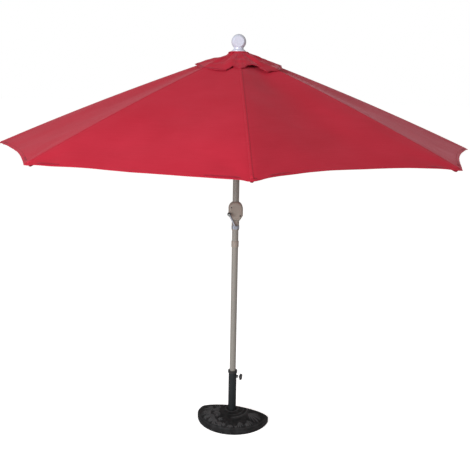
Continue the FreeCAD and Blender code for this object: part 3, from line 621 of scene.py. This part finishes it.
# The crown's section, mm: distance from the pole's axis and height.
CROWN = [(9, 2261.2), (24, 2261.5), (38, 2261.6), (45, 2261.2), (51, 2259.6), (56, 2256.6), (57, 2254.8)]


def crown_skirt():
    """Middle of the vent cap, gathered flat under the finial and turned down over the washer's edge."""
    points, around = [], 120
    for radius, height in CROWN:
        for k in range(around):
            a = 2 * math.pi * k / around
            ripple = max(0.0, (radius - 38) / 19) * (0.9 * math.sin(11 * a) + 0.6 * math.sin(17 * a + 1))
            reach = (radius + ripple * 0.4) * MM
            points.append((reach * math.cos(a), reach * math.sin(a), (height + ripple * 0.5) * MM))
    faces = grid(len(CROWN), around, ring=True)
    weave = [(points[k][0], points[k][1]) for face in faces for k in face]
    return thicken(make("vent_crown", points, faces, CANOPY_CLOTH, weave), CAP_THICK)


crown = crown_skirt()
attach(crown, "mast")
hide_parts("cap_centre")


# ---------------------------------------------------------------- lift cord
CORD_RADIUS = 0.0015


def braid(name, start, end, step):
    """Straight run of braided cord: strands cross round it in both directions."""
    start, end = Vector(start), Vector(end)
    run = end - start
    turn = run.to_track_quat("Z", "Y")
    count = max(2, int(run.length / step))
    rows = []
    for i in range(count + 1):
        z = run.length * i / count
        row = []
        for k in range(12):
            a = 2 * math.pi * k / 12
            bulge = abs(math.sin(3 * a + z * 900)) + abs(math.sin(3 * a - z * 900))
            r = CORD_RADIUS * (0.86 + 0.07 * bulge)
            row.append(start + turn @ Vector((r * math.cos(a), r * math.sin(a), z)))
        rows.append(row)
    return strip(name, rows, FINISHES["cord"])


outer_low, outer_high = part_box("lift_cord_outer")
cord_x, cord_y = (outer_low.x + outer_high.x) / 2, (outer_low.y + outer_high.y) / 2
pulley_end, runner_end = (cord_x, cord_y, outer_high.z), (cord_x, cord_y, outer_low.z)
outer = braid("lift_cord_outside", pulley_end, runner_end, 0.001)
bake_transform(outer)
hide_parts("lift_cord_outer")
SPOOL_SIDE, PULLEY_SIDE = (0.0105, 0, 1.265), (0, 0.009, 2.225)      # where the cord leaves each
inner = braid("lift_cord_inside", SPOOL_SIDE, PULLEY_SIDE, 0.004)
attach(inner, "mast")
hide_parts("lift_cord_inner")


# ---------------------------------------------------------------- foot
FOOT_RADIUS, FOOT_BACK, FOOT_TURN, RIM = 0.230, 0.043, math.radians(-16), 0.034
CORNER_LEFT, CORNER_RIGHT = 0.050, 0.012     # rounding of the back corners
BORE, BORE_FLOOR = 0.02502, 0.012            # the tube's seat
# Share of the foot's radius, and the dome's height over the rim there, mm.
DOME = [(1.0, 0.0), (0.955, 11.0), (0.87, 22.0), (0.70, 34.0), (0.48, 43.0), (0.26, 49.0), (0.14, 51.0),
        (0.0, 51.0)]


def dome_height(share):
    """Height of the plain dome over its rim at a share of the foot's radius."""
    for (far, low), (near, high) in zip(DOME, DOME[1:]):
        if share >= near:
            return (low + (high - low) * (far - share) / (far - near)) * MM
    return DOME[-1][1] * MM


def smooth_dome(share):
    """The dome with its facets eased, but for its edge."""
    if share >= 0.96:
        return dome_height(share)
    return sum(dome_height(min(1.0, max(0.0, share + k * 0.03))) for k in (-1, 0, 1)) / 3


def leaf(x, y, tip_x, tip_y, half):
    """Height of one leaf at a point: pointed at both ends, crowned, with a sunk midrib and side veins."""
    length = math.hypot(tip_x, tip_y)
    along = (x * tip_x + y * tip_y) / length / length
    if not 0 < along < 1:
        return 0.0
    side = (y * tip_x - x * tip_y) / length
    width = half * math.sin(math.pi * along ** 0.8)
    if abs(side) >= width:
        return 0.0
    crown = 1 - (side / width) ** 2
    vein = 0.25 * math.exp(-(side / (half * 0.13)) ** 2)
    ribs = 0.14 * max(0.0, math.sin(along * 26 - abs(side) / half * 5))
    return math.sqrt(crown) * (1 - vein) - ribs * crown


def rosette(x, y, radius, turn):
    """Height of a five-petalled flower with a round eye."""
    r = math.hypot(x, y)
    if r > radius:
        return 0.0
    a = math.atan2(y, x) + turn
    petal = abs(math.cos(2.5 * a)) ** 0.7
    edge = radius * (0.45 + 0.55 * petal)
    body = max(0.0, 1 - (r / edge) ** 4) * (0.25 + 0.75 * petal) if r < edge else 0.0
    eye = 0.55 * math.exp(-(r / (radius * 0.24)) ** 2)
    return body * (0.75 + 0.25 * r / radius) + eye


random.seed(11)
LEAVES = []       # root, the tip's offset from it, half width
FLOWERS = []      # centre, radius, turn


def spray(x, y, facing, reach, count, fan, slim):
    """Leaves that fan out from one root; slim is half their width over their length."""
    for k in range(count):
        swing = (k - (count - 1) / 2) * fan / max(1, count - 1)
        a = math.radians(facing + swing + random.uniform(-5, 5))
        length = reach * (1 - 0.25 * abs(swing) / max(1.0, fan / 2)) * random.uniform(0.88, 1.08)
        LEAVES.append((x, y, length * math.cos(a), length * math.sin(a), slim * length))


# Sprays and flowers stand closely on the left, thin out in front and end in one open fan on the right.
# Azimuth and distance of the root, length of a leaf, count, fan in degrees, slimness.
SPRAYS = [(184, 0.070, 0.050, 4, 100, 0.15), (188, 0.120, 0.064, 5, 120, 0.13),
          (203, 0.078, 0.048, 4, 120, 0.16), (205, 0.132, 0.064, 5, 110, 0.13),
          (222, 0.088, 0.052, 5, 130, 0.15), (224, 0.130, 0.064, 6, 140, 0.13),
          (240, 0.142, 0.054, 5, 120, 0.14), (256, 0.150, 0.044, 5, 120, 0.14),
          (280, 0.160, 0.038, 4, 110, 0.14), (302, 0.148, 0.044, 5, 100, 0.12),
          (322, 0.150, 0.060, 5, 70, 0.070), (346, 0.112, 0.104, 11, 84, 0.050)]
# Azimuth, distance and radius of each flower.
BLOOMS = [(196, 0.108, 0.020), (198, 0.168, 0.019), (213, 0.104, 0.015), (216, 0.176, 0.021),
          (230, 0.160, 0.018), (231, 0.114, 0.017), (246, 0.182, 0.017), (250, 0.128, 0.018),
          (266, 0.160, 0.014), (292, 0.178, 0.013), (315, 0.176, 0.014)]
# Half-round mouldings: distance from the tube's axis, half width, first and last azimuth, height.
MOULDINGS = [(0.040, 0.0055, 150, 400, 0.45), (0.074, 0.0050, 262, 380, 0.40),
             (0.098, 0.0060, 276, 380, 0.65), (0.108, 0.0030, 284, 380, 0.40)]
for facing, radius, reach, count, fan, slim in SPRAYS:
    a = math.radians(facing)
    spray(radius * math.cos(a), radius * math.sin(a), facing, reach, count, fan, slim)
for facing, radius, size in BLOOMS:
    a = math.radians(facing)
    FLOWERS.append((radius * math.cos(a), radius * math.sin(a), size, random.uniform(0, 6)))


def limited(value):
    return min(1.0, max(0.0, value))


def bead(gap, half):
    """Height of a half-round bead at a distance from its middle."""
    return math.sqrt(1 - (gap / half) ** 2) if abs(gap) < half else 0.0


def relief(x, y):
    """Share of the relief's full height at a point of the foot, in the foot's own directions."""
    from_pole = math.hypot(x, y)
    from_rim = FOOT_RADIUS - math.hypot(x, y - FOOT_BACK)
    inside = limited((from_rim - 0.010) / 0.004) * limited((FOOT_BACK - y - 0.010) / 0.004)
    facing = math.degrees(math.atan2(y, x)) % 360
    if facing < 90:
        facing += 360
    found = 0.0
    for cx, cy, tx, ty, half in LEAVES:
        if abs(x - cx) < 0.085 and abs(y - cy) < 0.085:
            found = max(found, 0.9 * leaf(x - cx, y - cy, tx, ty, half))
    for cx, cy, radius, turn in FLOWERS:
        if abs(x - cx) < radius and abs(y - cy) < radius:
            found = max(found, 1.1 * rosette(x - cx, y - cy, radius, turn))
    for radius, half, first, last, tall in MOULDINGS:
        fade = limited((facing - first) / 14) * limited((last - facing) / 14)
        found = max(found, tall * fade * bead(from_pole - radius, half))
    found *= inside
    # The casting between the ornaments is lumpy too.
    lumps = 0.22 * noise.noise(Vector((x * 60, y * 60, 2.0)))
    lumps += 0.12 * noise.noise(Vector((x * 170, y * 170, 5.0)))
    found += lumps * inside * (1 - 0.6 * min(1.0, found))
    return max(found, 0.22 * bead(from_rim - 0.0065, 0.0032))


RELIEF_HEIGHT = 0.0042
EDGE_EASE = 0.0022        # how far the top's outermost ring is turned down
RELIEF_FLOOR = 0.25       # share of the relief that lies under the plain top


def foot_top(x, y):
    """Height of the foot's plain top, eased towards the flat back."""
    share = math.hypot(x, y - FOOT_BACK) / FOOT_RADIUS
    height = RIM + smooth_dome(share)
    chamfer = max(0.0, 0.009 - (FOOT_BACK - y)) * 0.8
    return height - chamfer


def on_foot(x, y):
    """Whether a point lies within the foot's outline: a half disc whose back corners are rounded."""
    if math.hypot(x, y - FOOT_BACK) > FOOT_RADIUS or y > FOOT_BACK:
        return False
    rounding = CORNER_LEFT if x < 0 else CORNER_RIGHT
    across = math.sqrt((FOOT_RADIUS - rounding) ** 2 - rounding ** 2)
    low = FOOT_BACK - rounding * FOOT_RADIUS / (FOOT_RADIUS - rounding)
    return abs(x) < across or y < low or math.hypot(abs(x) - across, y - FOOT_BACK + rounding) < rounding


def foot_outline(angle):
    """Distance from the pole's axis to the foot's edge in one direction."""
    near, far = 0.0, 2 * FOOT_RADIUS
    for _ in range(24):
        middle = (near + far) / 2
        if on_foot(middle * math.cos(angle), middle * math.sin(angle)):
            near = middle
        else:
            far = middle
    return near


def foot():
    """The whole casting, from the tube's seat over the relief and down the rim to the underside."""
    count, steps = 460, 84
    angles = [2 * math.pi * k / count for k in range(count)]
    outline = [foot_outline(a) for a in angles]
    points, proud = [], []

    def ring(height, inset=0.0):
        for a, reach in zip(angles, outline):
            r = reach - inset
            points.append(turned((r * math.cos(a), r * math.sin(a), height), FOOT_TURN))
            proud.append(0.05)

    for a in angles:
        points.append(turned((BORE * math.cos(a), BORE * math.sin(a), BORE_FLOOR), FOOT_TURN))
        proud.append(0.0)
    for step in range(steps + 1):
        for a, reach in zip(angles, outline):
            r = BORE + (reach - BORE) * step / steps
            x, y = r * math.cos(a), r * math.sin(a)
            raised = relief(x, y)
            height = foot_top(x, y) + RELIEF_HEIGHT * (raised - RELIEF_FLOOR)
            if step == steps:
                height = foot_top(x, y) - EDGE_EASE
            points.append(turned((x, y, height), FOOT_TURN))
            proud.append(raised)
    ring(RIM - 0.006)
    ring(RIM * 0.5)
    ring(0.006)
    ring(0.0012, inset=0.0016)
    ring(0.0, inset=0.0040)
    rows = len(points) // count
    faces = grid(rows, count, ring=True)
    points += [Vector((0, 0, BORE_FLOOR)), Vector((0, 0, 0))]
    proud += [0.0, 0.0]
    for k in range(count):
        n = (k + 1) % count
        faces.append((len(points) - 2, n, k))
        faces.append((len(points) - 1, (rows - 1) * count + k, (rows - 1) * count + n))
    made = make("foot_casting", points, [tuple(reversed(f)) for f in faces], FINISHES["resin"])
    layer = made.data.attributes.new("relief", "FLOAT", "POINT")
    layer.data.foreach_set("value", proud)
    return made


casting = foot()
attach(casting, "stand")
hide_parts("base_weight")


# ---------------------------------------------------------------- stage, lights and camera
WHITE = (1, 1, 1, 1)


def studio():
    """White room: the floor and the walls look plain white, and light the object softly."""
    made, tree, shader = finish("painted_studio_floor", "#E4E4E4", 0.9)
    seen = add(tree, "LightPath").outputs["Is Camera Ray"]
    glow = add(tree, "Emission", {"Color": WHITE, "Strength": 0.72})
    lit = add(tree, "AddShader", {0: shader.outputs[0], 1: glow.outputs[0]})
    both = add(tree, "MixShader", {0: seen, 1: shader.outputs[0], 2: lit.outputs[0]})
    tree.links.new(both.outputs[0], tree.nodes["Material Output"].inputs["Surface"])
    half, height = 60, -0.0005
    corners = [(-half, -half, height), (half, -half, height), (half, half, height), (-half, half, height)]
    floor = make("studio_floor", corners, [(0, 1, 2, 3)], made)
    world = bpy.data.worlds.new("white_room")
    bpy.context.scene.world = world
    world.use_nodes = True
    tree = world.node_tree
    tree.nodes.clear()
    seen = add(tree, "LightPath").outputs["Is Camera Ray"]
    soft = add(tree, "Background", {"Color": colour("#FFF9F5"), "Strength": 0.40})
    plain = add(tree, "Background", {"Color": WHITE, "Strength": 1.0})
    both = add(tree, "MixShader", {0: seen, 1: soft.outputs[0], 2: plain.outputs[0]})
    add(tree, "OutputWorld", {"Surface": both.outputs[0]})


def softbox(name, place, aim, wide, tall, power, tint="#FFFFFF"):
    light = bpy.data.lights.new(name, "AREA")
    light.shape, light.size, light.size_y = "RECTANGLE", wide, tall
    light.energy = power
    light.color = colour(tint)[:3]
    made = bpy.data.objects.new(name, light)
    made.location = place
    made.rotation_mode = "QUATERNION"
    made.rotation_quaternion = (Vector(aim) - Vector(place)).to_track_quat("-Z", "Y")
    bpy.context.scene.collection.objects.link(made)


def place_camera():
    """The camera: eye height, looking a little down and right, held with a slight roll."""
    yaw, pitch, roll = 0.0452, -0.2467, 0.0188
    forward = Vector((math.sin(yaw) * math.cos(pitch), math.cos(yaw) * math.cos(pitch), math.sin(pitch)))
    level = Vector((math.cos(yaw), -math.sin(yaw), 0))
    upright = level.cross(forward)
    right = level * math.cos(roll) + upright * math.sin(roll)
    up = upright * math.cos(roll) - level * math.sin(roll)
    lens = bpy.data.cameras.new("camera")
    lens.sensor_width, lens.lens, lens.shift_y = 36.0, 50.24, 0.022
    lens.clip_start, lens.clip_end = 0.05, 200
    made = bpy.data.objects.new("camera", lens)
    facing = Matrix((right, up, -forward)).transposed().to_4x4()
    made.matrix_world = Matrix.Translation((-0.1716, -3.7935, 2.1075)) @ facing
    bpy.context.scene.collection.objects.link(made)
    bpy.context.scene.camera = made


studio()
softbox("key_left", (-3.7, -5.2, 3.0), (0, -0.3, 1.6), 2.4, 2.4, 425, "#F8FCFF")
softbox("fill_right", (3.6, -3.4, 2.6), (0, 0, 1.2), 2.5, 2.5, 30)
softbox("low_front", (-1.5, -4.5, 0.9), (0, 0, 0.9), 2.0, 1.2, 8)
place_camera()
bpy.context.scene.view_settings.view_transform = "Standard"
